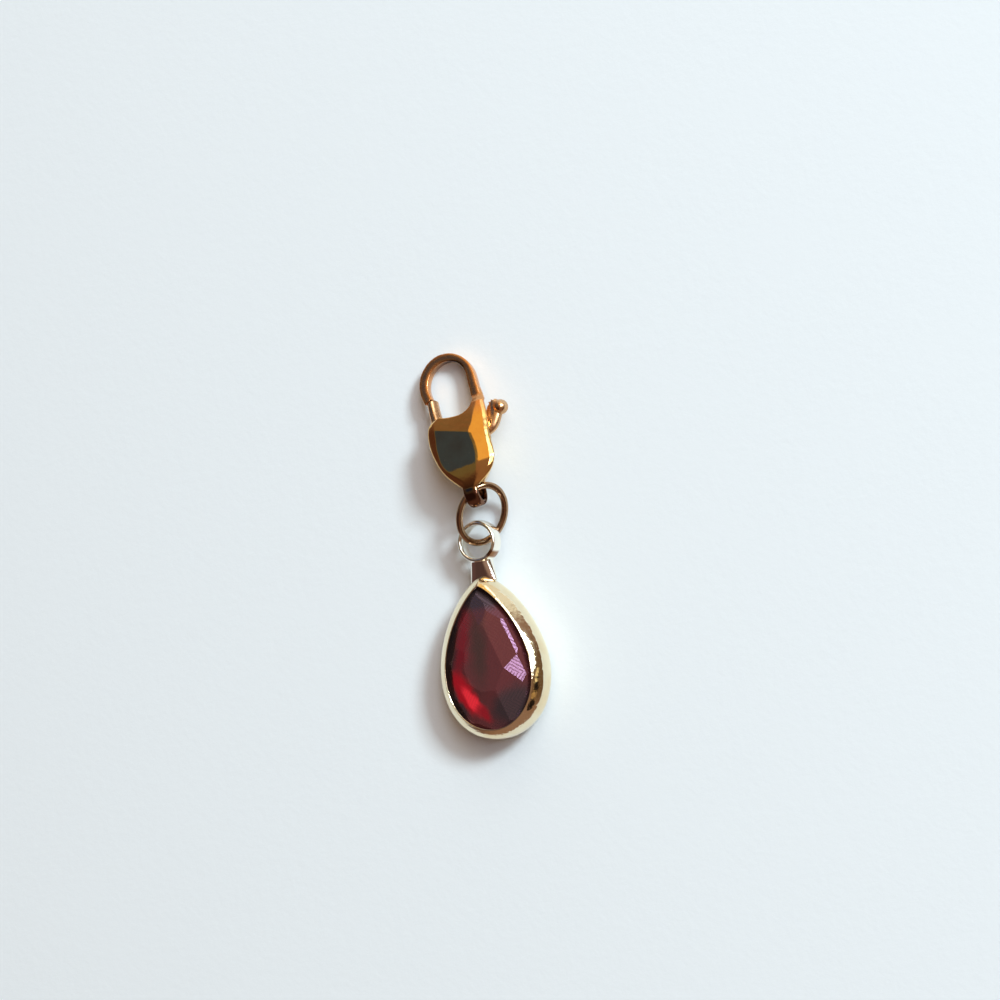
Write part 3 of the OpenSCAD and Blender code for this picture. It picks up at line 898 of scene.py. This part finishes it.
class CHARM_OT_clasp_body(bpy.types.Operator):
    """Builds the cast clasp body: hook, hollow body and tail loop"""
    bl_idname = "charm.clasp_body"
    bl_label = "Clasp body"

    def execute(self, context):
        s = context.scene.charm_clasp
        rows = faired(BODY_ROWS, 9)
        body = raw_object("cast_clasp_body", skin([body_section(r) for r in rows[::-1]]))
        mouth = raw_object("mouth", prism(rounded(MOUTH), CLASP_T))
        hole, half = TAIL_HOLE / 2, TAIL_W / 2 - TAIL_FLARE
        profile = [
            (-half - FLARE_RUN, AXIS_R), (-half - FLARE_RUN, hole + FLARE_RUN), (-half, hole),
            (half, hole), (half + FLARE_RUN, hole + FLARE_RUN), (half + FLARE_RUN, AXIS_R),
        ]
        bore = raw_object("tail_bore", turned_on_x(profile, TAIL_AT, TAIL_FLAT))
        combine(body, "DIFFERENCE", mouth, bore)

        hook = raw_object("hook", bar(hook_path(), HOOK_T, half_round))
        combine(hook, "DIFFERENCE", raw_object("tip_cut", prism(gate_sweep(), CLASP_T)))
        wall = (TAIL_D - TAIL_HOLE) / 2
        p = soft_square(TAIL_W, wall, 3, 32)
        profile = np.c_[p[:, 0], hole + wall / 2 + p[:, 1]]
        tail = raw_object("tail_loop", turned_on_x(profile, TAIL_AT, TAIL_FLAT))
        combine(body, "UNION", hook, tail)

        for right, t in ((SLOT_MIDDLE, SLOT_T), (SLOT_RIGHT, TAB_SLOT_T)):
            slot = raw_object("slot", prism((*SLOT_LEFT, *right, *SLOT_TOP), t / 2))
            combine(body, "DIFFERENCE", slot)
        cast_skin(body, s.skin_step, s.softening)
        place(body, in_clasp(), cast_gold_clasp(), "charm", "clasp_body")
        return {"FINISHED"}


class CHARM_OT_clasp_lever(bpy.types.Operator):
    """Builds the clasp's lever: gate arm, hub and thumb tab"""
    bl_idname = "charm.clasp_lever"
    bl_label = "Clasp lever"

    def execute(self, context):
        s = context.scene.charm_clasp
        gate = bar(faired(GATE_ROWS, 10), LEVER_T, lambda w, h: soft_square(w, h, 2.3, 40))
        lever = raw_object("cast_clasp_lever", gate)
        gate_end = raw_object("gate_end", prism(disc(PIVOT, GATE_ARC, 192), CLASP_T))
        combine(lever, "INTERSECT", gate_end)
        hub = raw_object("hub", prism(disc(PIVOT, HUB_D / 2), LEVER_T / 2))
        tab = raw_object("tab", bar(faired(TAB, 10), TAB_T, lambda w, h: soft_square(w, h, 2.2, 40)))
        knob = raw_object("knob", ball(KNOB_AT, KNOB_D / 2))
        combine(lever, "UNION", hub, tab, knob)
        bore = raw_object("bore", prism(disc(PIVOT, PIN_HOLE_R), CLASP_T))
        teeth = [raw_object("notch", prism(disc(at, NOTCH_D / 2, 24), CLASP_T)) for at in NOTCHES]
        combine(lever, "DIFFERENCE", bore, *teeth)
        cast_skin(lever, LEVER_SKIN, s.softening)
        place(lever, in_clasp(), rubbed_lever(), "lever", "clasp_lever")
        return {"FINISHED"}


class CHARM_OT_pin(bpy.types.Operator):
    """Gives the lever's pin its plain brass"""
    bl_idname = "charm.pin"
    bl_label = "Lever pin"

    def execute(self, context):
        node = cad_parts["lever_pin"]
        node.data.materials.clear()
        node.data.materials.append(plain_brass_pin())
        return {"FINISHED"}


# Stage

FLOOR_HALF = 0.6
# Name, azimuth and elevation seen from the charm, distance, width and height, watts, colour
LIGHTS = (
    ("window", 32, 48, 1.0, (0.85, 0.475), 3.8, (0.8, 0.93, 0.97)),
    ("bright_pane", 26, 36, 1.0, (0.2, 0.2), 9.0, (0.8, 0.93, 0.97)),
    ("woven_blind", 6, 61, 1.0, (0.17, 0.17), 0.72, (1.0, 0.9, 1.0)),
    ("gap_in_the_curtain", 38, 49, 0.98, (0.12, 0.12), 0.34, (1.0, 0.88, 1.0)),
)
# Soft patches of light and dark that the metal mirrors: azimuth and elevation seen from the charm, degrees fully
# shown, degrees where it has faded, colour. Later ones lie over earlier ones.
ROOM_BASE = (0.28, 0.165, 0.115)
ROOM = (
    ("pale side behind", 80, 8, 28, 40, (0.85, 0.8, 0.7)),
    ("warm patch high behind", 80, 61, 10, 16, (1.0, 0.62, 0.2)),
    ("warm patch behind", 87, 39, 9, 15, (1.0, 0.62, 0.2)),
    ("bright spot behind", 70, 27, 5, 9, (2.4, 2.3, 2.1)),
    ("brown side at the left", 185, 22, 25, 55, (0.095, 0.045, 0.038)),
    ("brown side at the right", -5, 14, 20, 42, (0.15, 0.085, 0.045)),
    ("lit edge at the right", -9, 26, 3, 8, (0.95, 0.75, 0.4)),
    ("dark gap near the right", -21, 22, 5, 9, (0.012, 0.008, 0.006)),
    ("lit spot near the right", -32, 24, 3, 7, (0.5, 0.3, 0.12)),
    ("dark gap towards the front", -44, 20, 6, 11, (0.012, 0.008, 0.006)),
    ("dark side in front", 225, 56, 16, 34, (0.07, 0.035, 0.028)),
    ("olive ring round the dark patch", 140, 52, 18, 30, (0.16, 0.15, 0.1)),
    ("dark patch above", 133, 51, 12, 15, (0.045, 0.075, 0.17)),
    ("far end of the dark patch", 144, 57, 7.5, 9.5, (0.045, 0.075, 0.17)),
)

# The camera: directions to it and up in the image, the point that it was fitted to, and the view's middle from
# there, to the image's right and up, in millimetres
TO_CAMERA = Vector((0.421, -0.095, 0.902)).normalized()
ROUGHLY_UP = Vector((0.153, 0.988, 0.032))
IMAGE_UP = (ROUGHLY_UP - ROUGHLY_UP.dot(TO_CAMERA) * TO_CAMERA).normalized()
IMAGE_RIGHT = IMAGE_UP.cross(TO_CAMERA)
SEEN_AT = (DROP_AT[0] - 0.34, DROP_AT[1] - 0.13, DROP_AT[2])
MIDDLE_RIGHT, MIDDLE_UP = 0.746, 11.94
SENSOR = 36


def heading(azimuth, elevation):
    """The direction at so many degrees from +X towards +Y, and so many above the floor."""
    return Vector(tilted(azimuth, 90 - elevation))


def soft_light(name, azimuth, elevation, distance, size, watts, colour):
    """A rectangular soft light at a direction and distance, turned to face the charm."""
    data = bpy.data.lights.new(name, "AREA")
    data.shape = "RECTANGLE"
    data.size, data.size_y = size
    data.energy = watts
    data.color = colour
    made = new_object(name, data)
    away = heading(azimuth, elevation)
    made.location = away * distance
    made.rotation_euler = away.to_track_quat("Z", "Y").to_euler()


def room(strength):
    """A room lit from its directions: a warm base colour with soft patches laid over it."""
    world = bpy.data.worlds.new("room")
    world.use_nodes = True
    tree = world.node_tree
    tree.nodes.clear()
    at = add_node(tree, "ShaderNodeTexCoord")
    seen = None
    for name, azimuth, elevation, inner, outer, colour in ROOM:
        towards = add_node(tree, "ShaderNodeVectorMath", {
            "operation": "DOT_PRODUCT", "label": name, 1: heading(azimuth, elevation),
        }, {0: at.outputs["Generated"]})
        share = add_node(tree, "ShaderNodeMapRange", {
            "interpolation_type": "SMOOTHSTEP",
            "From Min": math.cos(math.radians(outer)), "From Max": math.cos(math.radians(inner)),
        }, {"Value": towards.outputs["Value"]})
        seen = add_node(tree, "ShaderNodeMix", {
            "data_type": "RGBA", 6: (*ROOM_BASE, 1), 7: (*colour, 1),
        }, {"Factor": share.outputs["Result"], **({6: seen} if seen else {})}).outputs[2]
    glow = add_node(tree, "ShaderNodeBackground", {"Strength": strength}, {"Color": seen})
    add_node(tree, "ShaderNodeOutputWorld", None, {"Surface": glow.outputs["Background"]})
    return world


def camera_at(distance, view_width):
    """The camera at the photo's angle, so far from the charm and with so wide a view there."""
    data = bpy.data.cameras.new("camera")
    data.sensor_width = SENSOR
    data.lens = SENSOR * distance / view_width
    data.clip_start, data.clip_end = 0.01, 5
    made = new_object("camera", data)
    middle = Vector(SEEN_AT) * MM + (MIDDLE_RIGHT * IMAGE_RIGHT + MIDDLE_UP * IMAGE_UP) * MM
    axes = Matrix((IMAGE_RIGHT, IMAGE_UP, TO_CAMERA)).transposed()
    made.matrix_world = Matrix.Translation(middle + distance * TO_CAMERA) @ axes.to_4x4()
    return made


class CHARM_OT_stage(bpy.types.Operator):
    """Sets the floor, the lights, the room's glow and the camera"""
    bl_idname = "charm.stage"
    bl_label = "Stage"

    def execute(self, context):
        s = context.scene.charm_stage
        corners = [(x * FLOOR_HALF, y * FLOOR_HALF, 0) for x, y in ((-1, -1), (1, -1), (1, 1), (-1, 1))]
        floor = raw_object("floor", (corners, [(0, 1, 2, 3)]))
        floor.data.materials.append(pale_card())
        for light in LIGHTS:
            soft_light(*light)
        context.scene.world = room(s.room_light)
        context.scene.camera = camera_at(s.distance, s.view_width)
        context.scene.view_settings.view_transform = "Standard"
        return {"FINISHED"}


# The add-on's panel and classes

PANEL_ROWS = (
    ((CHARM_OT_glass,), "charm_glass"),
    ((CHARM_OT_frame,), "charm_frame"),
    ((CHARM_OT_ring,), "charm_ring"),
    ((CHARM_OT_clasp_body, CHARM_OT_clasp_lever, CHARM_OT_pin), "charm_clasp"),
    ((CHARM_OT_stage,), "charm_stage"),
)


class CHARM_PT_panel(bpy.types.Panel):
    """Lists the charm's pieces and their settings"""
    bl_idname = "CHARM_PT_panel"
    bl_label = "Glass drop charm"
    bl_space_type = "VIEW_3D"
    bl_region_type = "UI"
    bl_category = "Charm"

    def draw(self, context):
        for operators, group in PANEL_ROWS:
            box = self.layout.box()
            for op in operators:
                box.operator(op.bl_idname)
            settings = getattr(context.scene, group)
            for key in settings.__annotations__:
                box.prop(settings, key)


SETTINGS = {
    "charm_clasp": CharmClaspSettings, "charm_frame": CharmFrameSettings, "charm_ring": CharmRingSettings,
    "charm_glass": CharmGlassSettings, "charm_stage": CharmStageSettings,
}
CLASSES = (
    *SETTINGS.values(), CHARM_OT_glass, CHARM_OT_frame, CHARM_OT_ring, CHARM_OT_clasp_body, CHARM_OT_clasp_lever,
    CHARM_OT_pin, CHARM_OT_stage, CHARM_PT_panel,
)


def register():
    """Adds the classes and each group's settings on the scene."""
    for cls in CLASSES:
        bpy.utils.register_class(cls)
    for name, group in SETTINGS.items():
        setattr(bpy.types.Scene, name, bpy.props.PointerProperty(type=group))


def unregister():
    """Takes away what register added."""
    for name in SETTINGS:
        delattr(bpy.types.Scene, name)
    for cls in reversed(CLASSES):
        bpy.utils.unregister_class(cls)


def main():
    """Builds every piece and the stage."""
    register()
    bpy.ops.charm.glass()
    bpy.ops.charm.frame()
    bpy.ops.charm.ring()
    bpy.ops.charm.clasp_body()
    bpy.ops.charm.clasp_lever()
    bpy.ops.charm.pin()
    bpy.ops.charm.stage()


if __name__ == "__main__":
    main()
